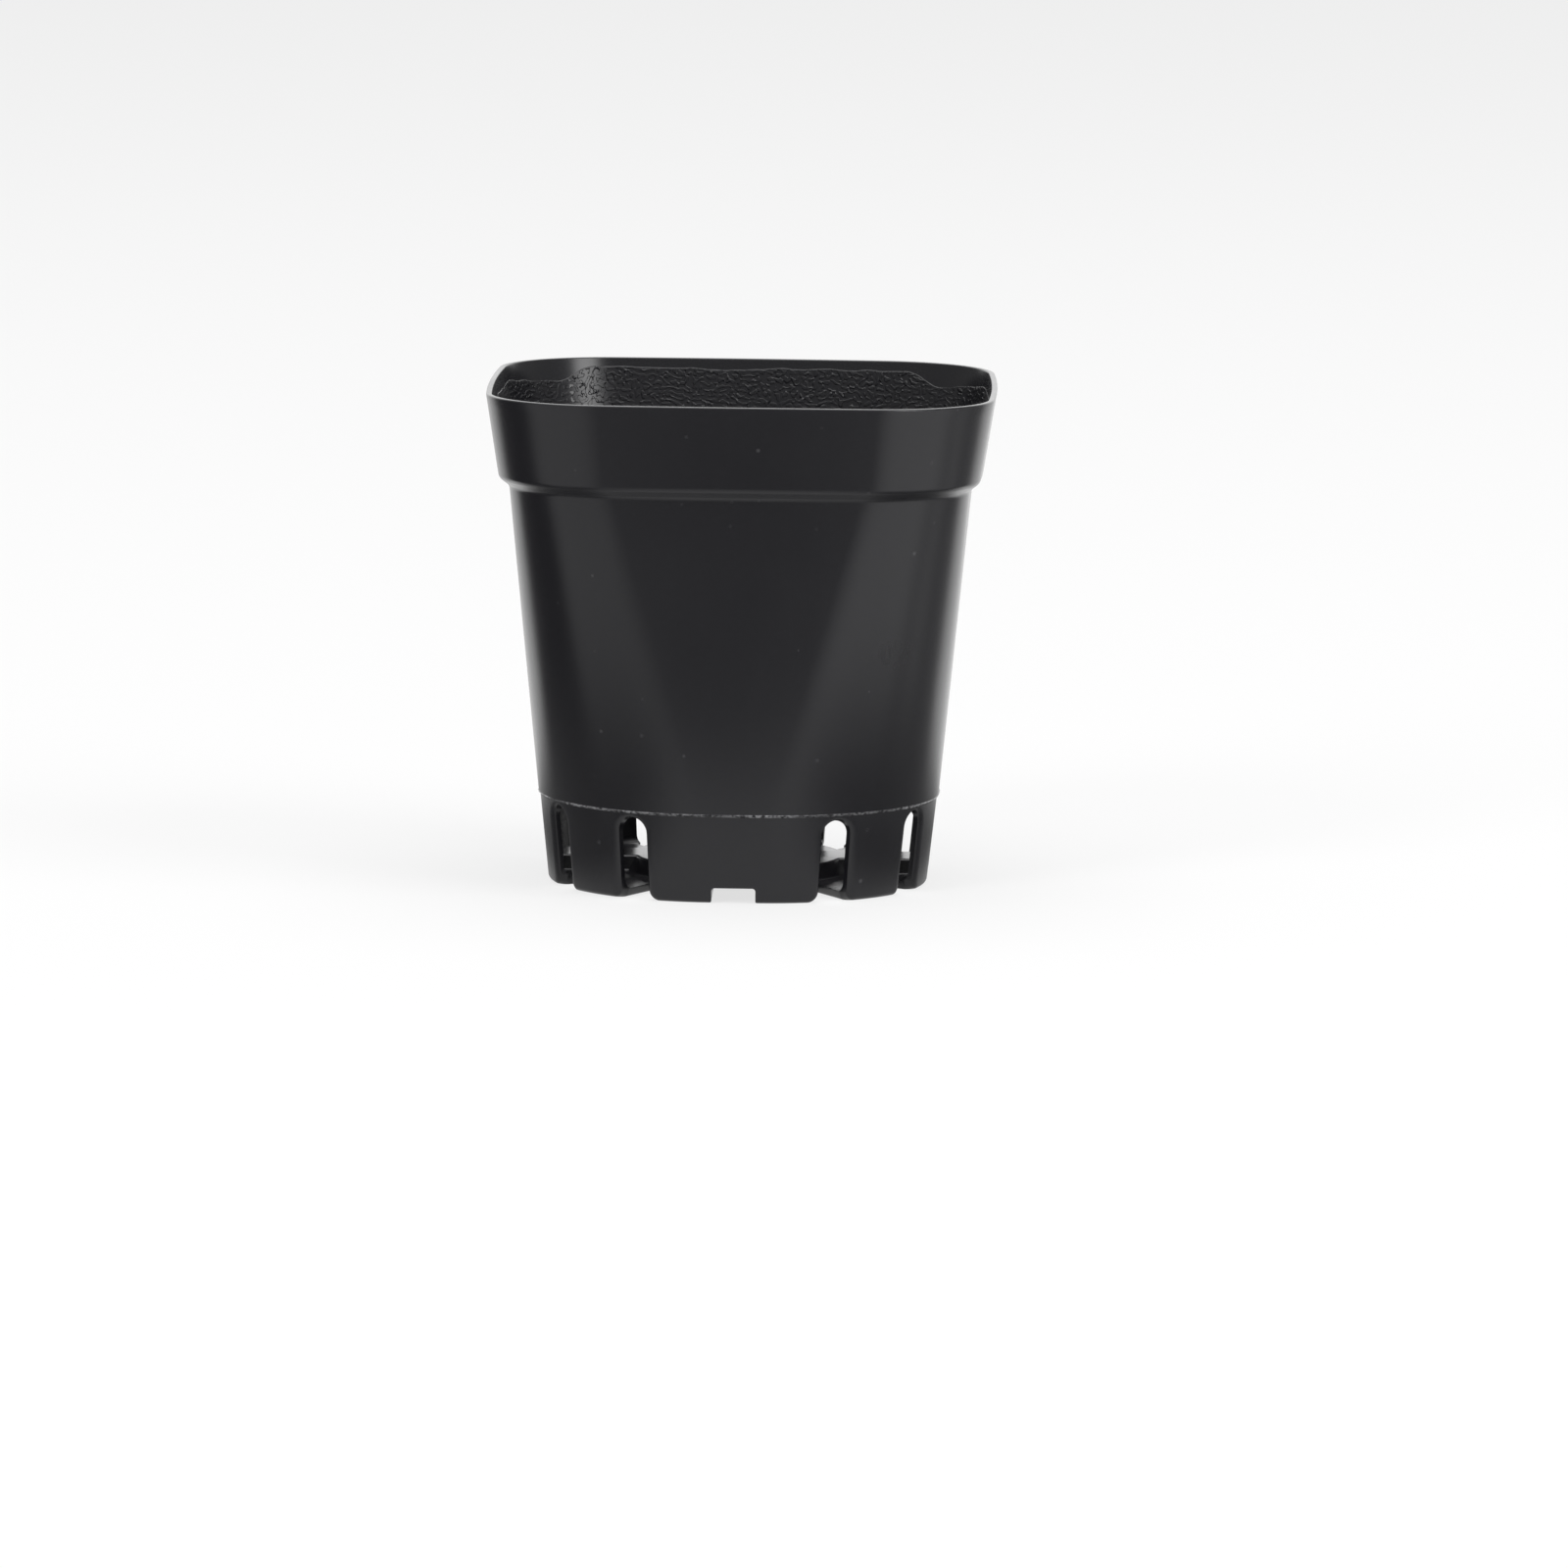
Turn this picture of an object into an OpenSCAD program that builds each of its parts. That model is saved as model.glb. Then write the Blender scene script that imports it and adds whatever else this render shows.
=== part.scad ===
// Square seed starting pot, moulded in one piece.
// A square mouth with round corners runs down to an almost round foot.
// Below the parting line the foot has eight drain slots, which run on into the floor.
// Millimetres, +Z up, origin on the ground under the middle of the pot.

/* [Collar] */
// Width of the rim, flat to flat, outside
rim_w = 70; // [62:0.5:84]
// Radius of the rim's corners, outside
rim_r = 16.5; // [12:0.5:22]
// Height of the straight, flared part of the collar
collar_h = 11; // [7:0.2:16]
// How far each side of the collar leans in, from the rim down to the shoulder
collar_lean = 1.7; // [0.5:0.1:2.5]
// Width of the step under the collar
shoulder_w = 1.5; // [1:0.1:2.2]
// Radius of the shoulder, where the collar turns in
shoulder_r = 1.4; // [1:0.1:2]
// Angle of the step's underside from upright
shoulder_turn = 48; // [40:1:70]

/* [Body] */
// Height from the ground to the rim
pot_h = 68.7; // [58:0.5:90]
// Radius of the body's corners under the collar, outside
neck_r = 15.5; // [12:0.5:20]
// Width of the body at the parting line, flat to flat, outside
base_w = 55.4; // [52:0.2:58]
// Radius of the body's corners at the parting line, outside
base_r = 24.6; // [18:0.2:25]
// Thickness of the body's wall
wall = 0.8; // [0.6:0.1:0.9]
// Rounding of the rim's two edges
rim_round = 0.2; // [0.1:0.05:0.25]

/* [Foot] */
// Height of the parting line, where the slotted foot begins
foot_h = 12.2; // [10:0.2:16]
// Width of the foot at the ground, flat to flat, outside
sole_w = 52.4; // [50:0.2:54]
// Radius of the foot's corners at the ground, outside
sole_r = 23.1; // [18:0.2:24]
// How far the foot is set back from the body at the parting line
foot_step = 0.2; // [0:0.05:0.4]
// Thickness of the foot's wall
foot_wall = 1.1; // [0.9:0.1:1.4]
// Thickness of the floor
floor_t = 1.1; // [0.9:0.1:1.5]
// Rounding of the foot's outer edges, at the ground and round the slots
edge_round = 0.6; // [0.3:0.1:0.6]
// Rounding between the floor and the wall, inside
floor_round = 1.2; // [0.6:0.1:1.6]
// How far the ridge of flash stands out at the parting line
flash_w = 0.2; // [0.1:0.05:0.3]
// Height of the ridge of flash
flash_h = 0.3; // [0.2:0.05:0.5]

/* [Drain slots] */
// Angle of each slot from the middle of its side
slot_turn = 30; // [27:1:32]
// Width of a slot
slot_w = 4.2; // [3:0.1:4.8]
// Height of the web between the top of a slot and the parting line
slot_web = 0.8; // [0.6:0.1:2]
// Gap between the inner end of a slot and the raised hub
slot_hub_gap = 0.9; // [0.6:0.1:2.4]
// Rounding of the lower corners of the four side panels
panel_round = 1.5; // [0.8:0.1:2]
// Rounding of the lower corners of the four corner panels
heel_round = 1.2; // [0.7:0.1:1.4]

/* [Raised hub and channels] */
// Radius of the raised hub's top
hub_r = 14.5; // [10:0.5:15]
// How far the hub's side leans out towards the floor
hub_lean = 1.2; // [0.6:0.1:1.6]
// Rounding of the top edges of the hub and its arms, and of their feet on the floor
hub_round = 0.5; // [0.2:0.1:0.6]
// Height of the drain channels, and of the hollow under the hub
channel_h = 2.1; // [1.6:0.1:2.6]
// Width of the notch where a channel leaves the foot
channel_w = 6; // [4:0.2:8]
// How far the sides of the arms over the channels lean out towards the floor
arm_lean = 0.3; // [0.1:0.1:0.6]
// Radius of the stub that the moulding gate left, under the middle
gate_r = 0.9; // [0.5:0.1:1.5]
// Length of that stub
gate_h = 0.5; // [0.3:0.1:0.8]

/* [Fineness] */
// Number of straight pieces in each round corner of the walls
corner_steps = 18; // [12:1:24]
// Number of straight pieces in each rounding of a profile
round_steps = 4; // [3:1:5]
// Number of straight pieces in the arch of a slot
arch_steps = 12; // [8:2:16]

/* [Hidden] */

// A section of the walls is [half width, corner radius, height].
sole = [sole_w / 2, sole_r, 0];
base = [base_w / 2, base_r, foot_h];
foot = [base[0] - foot_step, base_r - foot_step, foot_h];
collar = [rim_w / 2 - collar_lean, rim_r - collar_lean / 2, pot_h - collar_h];
rim = [rim_w / 2, rim_r, pot_h];

// Middle of the shoulder's rounding, which meets the flared collar without a kink.
collar_turn = atan(collar_lean / collar_h);
shoulder_x = collar[0] - shoulder_r * cos(collar_turn);
shoulder_z = collar[2] + shoulder_r * sin(collar_turn);

// The step's straight underside runs from the rounding down to the body.
neck_x = collar[0] - shoulder_w;
under_x = shoulder_x + shoulder_r * cos(shoulder_turn);
under_z = shoulder_z - shoulder_r * sin(shoulder_turn);
neck_z = under_z - (under_x - neck_x) / tan(shoulder_turn);
neck_turn = atan((neck_x - base[0]) / (neck_z - base[2]));

hub_top = channel_h + floor_t;
arm_r = channel_w / 2 + floor_t - arm_lean;
sunk = floor_t / 2;
slot_in = hub_r + hub_lean + slot_hub_gap + slot_w / 2;
slot_top = foot_h - slot_web - slot_w / 2;

// How far a cutter runs on past the plastic, and the number of sides of a full circle.
over = 1;
round_fn = 64;

// A hair's breadth, by which parts that meet are set apart where they would share a plane.
bite = 0.02;
run_w = slot_w - 2 * bite;

// How far a slot's window narrows on each side, from the foot's skin to its inner end.
slot_draft = 0.8;

// Value a share t of the way from a to b.
function mix(a, b, t) = a + (b - a) * t;

// Section between two others, at height z.
function between(low, high, z) =
    let (t = (z - low[2]) / (high[2] - low[2]))
    [mix(low[0], high[0], t), mix(low[1], high[1], t), z];

// Section moved in by a distance, at the same height.
function inset(section, by) = [section[0] - by, section[1] - by, section[2]];

// Turns from one angle to another, as round_steps + 1 values.
function turns(from, to) = [for (step = [0:round_steps]) mix(from, to, step / round_steps)];

// Section on the shoulder's rounding, or a depth below that skin.
function shoulder(turn, depth) =
    let (
        x = shoulder_x + shoulder_r * cos(turn),
        r = mix(neck_r, collar[1], (x - neck_x) / shoulder_w)
    )
    [x - depth * cos(turn), r - depth * cos(turn), shoulder_z - (shoulder_r - depth) * sin(turn)];

// Section at the crease under the step, or a depth below that skin.
function crease(turn, depth) =
    [neck_x - depth * cos(turn), neck_r - depth * cos(turn), neck_z + depth * sin(turn)];

// Sections of the rounding between a level z and a wall, from low on the level to high on the wall.
function rounded_foot(low, high, z, radius) = [
    for (turn = turns(0, 90))
        inset(between(low, high, z + radius * (1 - cos(turn))), radius * (1 - sin(turn)))
];

// Outline of a square with round corners, with corner_steps + 1 points for each corner.
function outline(section) = [
    for (quarter = [0:3], step = [0:corner_steps])
        let (
            reach = (section[0] - section[1]) * sqrt(2),
            middle = 90 * quarter + 45,
            turn = 90 * (quarter + step / corner_steps)
        )
        [
            reach * cos(middle) + section[1] * cos(turn),
            reach * sin(middle) + section[1] * sin(turn),
            section[2]
        ]
];

// Outside of the walls, from the ground up, with the ridge of flash at the parting line.
outside = concat(
    rounded_foot(sole, foot, 0, edge_round),
    [
        between(sole, foot, foot_h - flash_h / 2),
        inset(base, -flash_w),
        between(base, crease(0, 0), foot_h + flash_h / 2),
        crease(0, 0)
    ],
    [for (turn = turns(shoulder_turn, collar_turn)) shoulder(turn, 0)],
    [
        rim - [0, 0, rim_round],
        inset(rim, rim_round)
    ]
);

// Hollow, from the floor up. It runs on above the rim, to cut the mouth open.
sole_in = inset(sole, foot_wall);
foot_in = inset(foot, foot_wall);
rim_in = inset(rim, wall);
inside = concat(
    rounded_foot(sole_in, foot_in, floor_t, floor_round),
    [foot_in],
    [for (turn = turns(neck_turn, shoulder_turn)) crease(turn, wall)],
    [for (turn = turns(shoulder_turn, collar_turn)) shoulder(turn, wall)],
    [
        between(shoulder(collar_turn, wall), rim_in, pot_h - rim_round),
        inset(rim_in, -rim_round),
        inset(rim_in, -rim_round) + [0, 0, over]
    ]
);

// Solid skin over a stack of rings, which run anticlockwise when seen from the last one's side.
module skin(rings) {
    count = len(rings[0]);
    last = len(rings) - 1;
    sides = [
        for (level = [0:last - 1], i = [0:count - 1])
            let (
                low = level * count,
                high = low + count,
                next = (i + 1) % count
            )
            each [
                [low + i, high + i, high + next],
                [low + i, high + next, low + next]
            ]
    ];
    bottom = [for (i = [0:count - 1]) i];
    top = [for (i = [count - 1:-1:0]) last * count + i];
    polyhedron(points = [for (ring = rings) each ring], faces = concat([bottom], sides, [top]));
}

// Bare cup, with its floor and walls unbroken.
module cup() {
    difference() {
        skin([for (section = outside) outline(section)]);
        skin([for (section = inside) outline(section)]);
    }
}

// Half profile of a raised bank whose top ends at x. A hollow rounding blends the floor into its side.
function bank(x, lean) =
    let (
        turn = atan(lean / channel_h),
        blend = hub_round * tan((90 - turn) / 2),
        toe = x + lean + blend
    )
    concat(
        [[toe, sunk]],
        [for (a = turns(0, 90 - turn)) [toe - hub_round * sin(a), floor_t - bite + hub_round * (1 - cos(a))]],
        [for (a = turns(turn, 90)) [x - blend + hub_round * cos(a), hub_top - hub_round * (1 - sin(a))]]
    );

// Raised middle of the floor, with an arm to the middle of each side.
module hub() {
    rotate_extrude($fn = round_fn)
        polygon(concat([[0, sunk]], bank(hub_r, hub_lean), [[0, hub_top]]));
    for (side = [0:3])
        rotate(90 * side)
            rotate([90, 0, 90])
                linear_extrude(height = sole_w / 2 - foot_wall / 2) {
                    polygon(concat([[0, sunk]], bank(arm_r, arm_lean), [[0, hub_top]]));
                    mirror([1, 0])
                        polygon(concat([[0, sunk]], bank(arm_r, arm_lean), [[0, hub_top]]));
                }
}

// Hollow under the hub, and the channels that let its water out.
module drain() {
    translate([0, 0, -over])
        cylinder(h = channel_h + over, r = hub_r - floor_t + hub_lean / 2, $fn = round_fn);
    for (side = [0:3])
        rotate(90 * side)
            translate([0, -channel_w / 2, -over])
                cube([rim_w / 2, channel_w, channel_h + over]);
}

// Outline of a slot's window, moved out by grow, as places sideways and heights.
// It runs up the corner panel's edge, over the arch and down the side panel's edge.
function window(grow) =
    let (
        half = slot_w / 2,
        heel = half + heel_round,
        panel = half + panel_round
    )
    concat(
        [[heel, -over]],
        [for (a = turns(90, 0)) [heel, heel_round] - (heel_round - grow) * [cos(a), sin(a)]],
        [
            for (step = [0:arch_steps])
                let (a = 180 * step / arch_steps)
                [0, slot_top] + (half + grow) * [cos(a), sin(a)]
        ],
        [for (a = turns(0, 90)) [-panel, panel_round] + (panel_round - grow) * [cos(a), -sin(a)]],
        [[-panel, -over]]
    );

// Distance out along a slot to the foot's skin, which is round there, at a place sideways and a height.
function skin_at(across, z) =
    let (
        section = between(sole, foot, max(z, 0)),
        reach = (section[0] - section[1]) * sqrt(2),
        aside = across - reach * sin(45 - slot_turn)
    )
    reach * cos(45 - slot_turn) + sqrt(section[1] * section[1] - aside * aside);

// Ring of a slot's cutter, a depth below a surface that lies a hair outside the foot's skin.
function sunk_ring(grow, depth) =
    [for (p = window(grow)) [skin_at(p[0], p[1]) + bite - depth, p[0], p[1]]];

// Ring of a slot's cutter, at a distance from the pot's axis.
function flat_ring(grow, distance) = [for (p = window(grow)) [distance, p[0], p[1]]];

// One slot along +X: the window, whose outer edge is rounded, and its run through the floor.
// The window narrows inwards, to an end that lies within the run and clear of the wall.
module slot() {
    skin(concat(
        [flat_ring(-slot_draft, sole_in[0] - floor_round / 2)],
        [for (a = turns(0, 90)) sunk_ring(edge_round * (1 - cos(a)), edge_round * (1 - sin(a)))],
        [flat_ring(edge_round, rim_w / 2)]
    ));
    translate([0, 0, -over])
        linear_extrude(height = floor_t + floor_round + 2 * over) {
            translate([slot_in, 0])
                circle(d = run_w, $fn = round_fn);
            translate([slot_in, -run_w / 2])
                square([rim_w / 2 - slot_in, run_w]);
        }
}

// Stub where the plastic was let into the mould, under the middle of the hub.
module gate() {
    translate([0, 0, channel_h - gate_h])
        cylinder(h = gate_h + floor_t / 2, r = gate_r, $fn = round_fn);
}

module pot() {
    color([0.07, 0.07, 0.075]) {
        difference() {
            union() {
                cup();
                hub();
            }
            drain();
            for (quarter = [0:3], side = [0, 1])
                rotate(90 * quarter)
                    mirror([0, side, 0])
                        rotate(slot_turn)
                            slot();
        }
        gate();
    }
}

pot();
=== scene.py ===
"""Square seed starting pot: the visible skin, its finish and a plain studio.

The pot is one moulding. Its walls are a stack of square outlines with round corners, carried
from the ground up the outside, over the rim and down the inside to the floor. The drain slots,
the hollow under the hub and its channels are cut out of that skin, with the small roundings
that a mould leaves. Sizes are in millimetres until a mesh is made, and Blender's own lengths
are metres.
"""
import logging
import math
from dataclasses import dataclass
from enum import Enum

import bmesh
import bpy
import numpy as np
from mathutils import Matrix, Vector


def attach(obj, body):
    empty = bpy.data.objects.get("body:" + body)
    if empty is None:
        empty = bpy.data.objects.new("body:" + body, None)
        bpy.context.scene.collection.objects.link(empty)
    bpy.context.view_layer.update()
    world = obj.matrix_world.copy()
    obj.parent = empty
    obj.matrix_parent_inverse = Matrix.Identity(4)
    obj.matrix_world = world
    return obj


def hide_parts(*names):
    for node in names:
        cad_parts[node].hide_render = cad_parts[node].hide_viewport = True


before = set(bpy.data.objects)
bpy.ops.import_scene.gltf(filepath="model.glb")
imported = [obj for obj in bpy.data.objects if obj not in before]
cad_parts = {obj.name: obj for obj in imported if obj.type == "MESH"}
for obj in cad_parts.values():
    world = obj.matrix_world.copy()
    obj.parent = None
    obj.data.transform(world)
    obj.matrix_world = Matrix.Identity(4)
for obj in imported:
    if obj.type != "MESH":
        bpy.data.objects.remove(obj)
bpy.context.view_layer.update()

LOG = logging.getLogger("seed_pot")
Array = np.ndarray
MM = 0.001
QUARTER = math.pi / 2
WHITE = (1.0, 1.0, 1.0, 1.0)
Thing = bpy.types.Object
Socket = bpy.types.NodeSocket
Feed = Socket | float


class Join(Enum):
    """How solids are put together."""

    ADD = "UNION"
    CUT = "DIFFERENCE"


@dataclass(frozen=True)
class Section:
    """One level outline of the walls, in mm: a square with crowned sides and round corners."""

    half: float
    corner: float
    height: float

    def inset(self, depth: float, rise: float = 0.0) -> "Section":
        """Returns the outline moved in by depth and up by rise."""
        return Section(self.half - depth, self.corner - depth, self.height + rise)


def between(low: Section, high: Section, height: float) -> Section:
    """Returns the outline at a height on the straight lines that join two others."""
    share = (height - low.height) / (high.height - low.height)
    return Section(
        low.half + (high.half - low.half) * share,
        low.corner + (high.corner - low.corner) * share,
        height,
    )


@dataclass
class Outline:
    """The directions round the pot at which every outline has a point."""

    crown: float = math.radians(2.5)
    side_steps: int = 20
    corner_steps: int = 96

    def __post_init__(self) -> None:
        """Works out the turn of each point, and whether it lies on a side or on a corner."""
        side = np.linspace(-self.crown, self.crown, self.side_steps, endpoint=False)
        corner = np.linspace(self.crown, QUARTER - self.crown, self.corner_steps, endpoint=False)
        one = np.concatenate([side, corner])
        kind = np.concatenate([np.zeros(self.side_steps), np.ones(self.corner_steps)])
        self.turn = np.concatenate([one + QUARTER * k for k in range(4)])
        self.on_corner = np.tile(kind, 4).astype(bool)
        quarter = np.repeat(np.arange(4), len(one)) * QUARTER
        self.normal = np.stack([np.cos(self.turn), np.sin(self.turn)], axis=1)
        self.side_way = np.stack([np.cos(quarter), np.sin(quarter)], axis=1)
        diagonal = quarter + QUARTER / 2
        self.corner_way = np.stack([np.cos(diagonal), np.sin(diagonal)], axis=1) * math.sqrt(2)

    @property
    def count(self) -> int:
        """Number of points round the pot."""
        return len(self.turn)

    def arcs(self, half: Array, corner: Array) -> tuple[Array, Array]:
        """Works out the arcs of outlines from their half widths and corner radii.

        Args:
            half: half widths.
            corner: corner radii.

        Returns:
            The radius of each side's long arc, and the x (and y) of each corner's centre.
        """
        lean = math.cos(self.crown) - math.sin(self.crown)
        long = (half - lean * corner) / (1 - lean)
        return long, (long - corner) * math.sin(self.crown)

    def skin(self, sections: list[Section], swell: Array) -> Array:
        """Works out the points of a stack of outlines.

        A point is the centre of its arc plus the arc's radius along the point's own direction.
        The centre lies on an axis for a side, and on a diagonal for a corner.

        Args:
            sections: the outlines, in order.
            swell: how far each point stands out past its outline, by row and by point.

        Returns:
            An array of rows by points by three, in millimetres.
        """
        table = np.array([[s.half, s.corner, s.height] for s in sections])
        half, corner, height = table[:, :1], table[:, 1:2], table[:, 2:]
        long, centre = self.arcs(half, corner)
        on_corner = self.on_corner[None, :]
        radius = np.where(on_corner, corner, long) + swell
        spread = np.where(on_corner, centre, 0.0)
        shift = np.where(on_corner, 0.0, half - long)
        flat = (
            radius[..., None] * self.normal[None]
            + spread[..., None] * self.corner_way[None]
            + shift[..., None] * self.side_way[None]
        )
        return np.concatenate([flat, np.broadcast_to(height, radius.shape)[..., None]], axis=2)


def arc_turns(start: float, end: float, steps: int) -> Array:
    """Returns steps + 1 turns from start to end, in radians."""
    return np.linspace(start, end, steps + 1)


def linked_object(name: str, points: Array, faces: list[list[int]]) -> Thing:
    """Makes a mesh object and links it to the scene.

    Args:
        name: the name of the object and of its mesh.
        points: points by three, in millimetres.
        faces: the point numbers of each face.

    Returns:
        The object, with its mesh in metres.
    """
    mesh = bpy.data.meshes.new(name)
    mesh.from_pydata((points * MM).tolist(), [], faces)
    mesh.update()
    thing = bpy.data.objects.new(name, mesh)
    bpy.context.scene.collection.objects.link(thing)
    return thing


def tube_faces(rows: int, count: int) -> Array:
    """Gives the four-sided faces of a tube whose rows run up and whose points run anticlockwise.

    Args:
        rows: number of rows.
        count: number of points in a row.

    Returns:
        An array of faces by four, pointing outwards.
    """
    low = np.arange(rows - 1)[:, None] * count
    here = np.arange(count)[None, :]
    after = (here + 1) % count
    quads = [low + here, low + after, low + count + after, low + count + here]
    return np.stack(quads, axis=2).reshape(-1, 4)


def capped_tube(name: str, grid: Array) -> Thing:
    """Closes a grid of rows with a fan of faces at each end.

    Args:
        name: the object's name.
        grid: rows by points by three, in millimetres, the rows running up.

    Returns:
        The closed object, linked to the scene.
    """
    rows, count = grid.shape[:2]
    points = np.concatenate([grid.reshape(-1, 3), grid[0].mean(0)[None], grid[-1].mean(0)[None]])
    here = np.arange(count)
    after = (here + 1) % count
    bottom = rows * count
    top = bottom + 1
    last = (rows - 1) * count
    low_fan = np.stack([np.full(count, bottom), after, here], axis=1)
    high_fan = np.stack([np.full(count, top), last + here, last + after], axis=1)
    faces = tube_faces(rows, count).tolist() + low_fan.tolist() + high_fan.tolist()
    return linked_object(name, points, faces)


def swung(x: Array, y: Array, z: Array, turn: float) -> Array:
    """Turns points about the pot's axis and stacks them as a grid of rows by points by three."""
    cos, sin = math.cos(turn), math.sin(turn)
    return np.stack([x * cos - y * sin, x * sin + y * cos, z], axis=2)


def revolved(reach: Array, height: Array, count: int) -> Array:
    """Turns a profile about the pot's axis.

    Args:
        reach: distances from the axis.
        height: heights.
        count: number of points round the axis.

    Returns:
        A grid of rows by points by three.
    """
    turn = np.linspace(0, 2 * math.pi, count, endpoint=False)[None, :]
    x = reach[:, None] * np.cos(turn)
    y = reach[:, None] * np.sin(turn)
    return np.stack([x, y, np.broadcast_to(height[:, None], x.shape)], axis=2)


def carried(out: Array, up: Array, end: float, turn: float) -> Array:
    """Carries a profile and its mirror image along a level line through the pot's axis.

    Args:
        out: distances sideways from the line.
        up: heights.
        end: distance of both ends from the axis.
        turn: the line's direction.

    Returns:
        A grid of two rows by points by three.
    """
    across = np.concatenate([out, -out[::-1]])
    level = np.concatenate([up, up[::-1]])
    x = np.broadcast_to(np.array([-end, end])[:, None], (2, len(across)))
    return swung(x, np.broadcast_to(across, x.shape), np.broadcast_to(level, x.shape), turn)


@dataclass
class Walls:
    """The collar, body and foot: one skin from the base's middle round to the floor's middle."""

    rim_half: float = 35.0
    rim_corner: float = 16.5
    height: float = 68.7
    collar_height: float = 11.0
    collar_lean: float = 1.7
    shoulder_width: float = 1.5
    shoulder_radius: float = 1.4
    shoulder_turn: float = math.radians(48)
    crease_radius: float = 1.1
    neck_corner: float = 15.5
    base_half: float = 27.7
    base_corner: float = 24.6
    wall: float = 0.8
    rim_round: float = 0.22
    foot_height: float = 12.2
    sole_half: float = 26.2
    sole_corner: float = 23.1
    foot_step: float = 0.2
    foot_wall: float = 1.1
    floor: float = 1.1
    edge_round: float = 0.6
    floor_round: float = 1.2
    flash_reach: float = 0.26
    flash_height: float = 0.38
    flash_lift: float = 0.05
    flash_hold: float = 0.06
    flash_rough: float = 0.16
    flash_broken: float = 0.025
    flash_stub: float = 0.35
    seed: int = 7
    lip_steps: int = 5
    ledge_steps: int = 6
    round_steps: int = 7
    shoulder_steps: int = 9
    collar_steps: int = 7
    body_steps: int = 16
    foot_steps: int = 8
    low_steps: int = 5

    def __post_init__(self) -> None:
        """Places the driving outlines and the shoulder's rounding."""
        self.outline = Outline()
        self.sole = Section(self.sole_half, self.sole_corner, 0.0)
        self.base = Section(self.base_half, self.base_corner, self.foot_height)
        self.foot = self.base.inset(self.foot_step)
        self.collar = Section(
            self.rim_half - self.collar_lean,
            self.rim_corner - self.collar_lean / 2,
            self.height - self.collar_height,
        )
        self.rim = Section(self.rim_half, self.rim_corner, self.height)
        self.collar_turn = math.atan2(self.collar_lean, self.collar_height)
        self.bend_x = self.collar.half - self.shoulder_radius * math.cos(self.collar_turn)
        self.bend_z = self.collar.height + self.shoulder_radius * math.sin(self.collar_turn)
        self.neck_x = self.collar.half - self.shoulder_width
        under_x = self.bend_x + self.shoulder_radius * math.cos(self.shoulder_turn)
        under_z = self.bend_z - self.shoulder_radius * math.sin(self.shoulder_turn)
        self.neck_z = under_z - (under_x - self.neck_x) / math.tan(self.shoulder_turn)
        rise = self.neck_z - self.foot_height
        self.neck_turn = math.atan2(self.neck_x - self.base_half, rise)

    def shoulder(self, turn: float, depth: float) -> Section:
        """Returns the outline on the shoulder's rounding, a depth below the outer skin."""
        reach = self.bend_x + self.shoulder_radius * math.cos(turn)
        share = (reach - self.neck_x) / self.shoulder_width
        corner = self.neck_corner + (self.collar.corner - self.neck_corner) * share
        sunk = depth * math.cos(turn)
        height = self.bend_z - (self.shoulder_radius - depth) * math.sin(turn)
        return Section(reach - sunk, corner - sunk, height)

    def crease(self, turn: float) -> Section:
        """Finds the outline on the rounding that fills the crease under the step.

        Args:
            turn: how far the wall leans there.

        Returns:
            The outline.
        """
        radius = self.crease_radius
        half_turn = (self.neck_turn + self.shoulder_turn) / 2
        reach = radius / math.cos((self.shoulder_turn - self.neck_turn) / 2)
        out = reach * math.cos(half_turn) - radius * math.cos(turn)
        down = reach * math.sin(half_turn) - radius * math.sin(turn)
        return Section(self.neck_x + out, self.neck_corner + out, self.neck_z - down)

    def crease_inside(self, turn: float) -> Section:
        """Returns the inner skin's outline, which goes round the crease at the wall's thickness."""
        sunk = self.wall * math.cos(turn)
        height = self.neck_z + self.wall * math.sin(turn)
        return Section(self.neck_x - sunk, self.neck_corner - sunk, height)

    def quarter_round(self, low: Section, high: Section, level: float, radius: float) -> list[Section]:
        """Lists the outlines of a quarter round from a level to the wall between two outlines."""
        return [
            between(low, high, level + radius * (1 - math.cos(t))).inset(radius * (1 - math.sin(t)))
            for t in arc_turns(0, QUARTER, self.round_steps)
        ]

    def straight(self, low: Section, high: Section, steps: int) -> list[Section]:
        """Lists the outlines strictly between two, evenly spaced."""
        heights = np.linspace(low.height, high.height, steps + 2)[1:-1]
        return [between(low, high, float(h)) for h in heights]

    def flash_ragged(self) -> Array:
        """Works out how far the flash stands out at each point, as a share of its reach.

        The edge is a slow wave, a faster wave and a fine seeded roughness, added together, with
        short stretches where the flash has broken away.

        Returns:
            One share for each point round the pot.
        """
        turn = self.outline.turn
        dice = np.random.default_rng(self.seed)
        slow = 0.5 + 0.22 * np.sin(3 * turn + 1.1) + 0.16 * np.sin(7 * turn + 4.0)
        fast = 0.12 * np.sin(29 * turn + 0.7) + 0.1 * np.sin(61 * turn + 2.0)
        rough = dice.normal(0, self.flash_rough, self.outline.count)
        rough = (rough + np.roll(rough, 1)) / 1.4
        broken = dice.random(self.outline.count) < self.flash_broken
        share = np.clip(slow + fast + rough, 0.12, 1.25)
        return np.where(broken, share * self.flash_stub, share)

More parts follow.
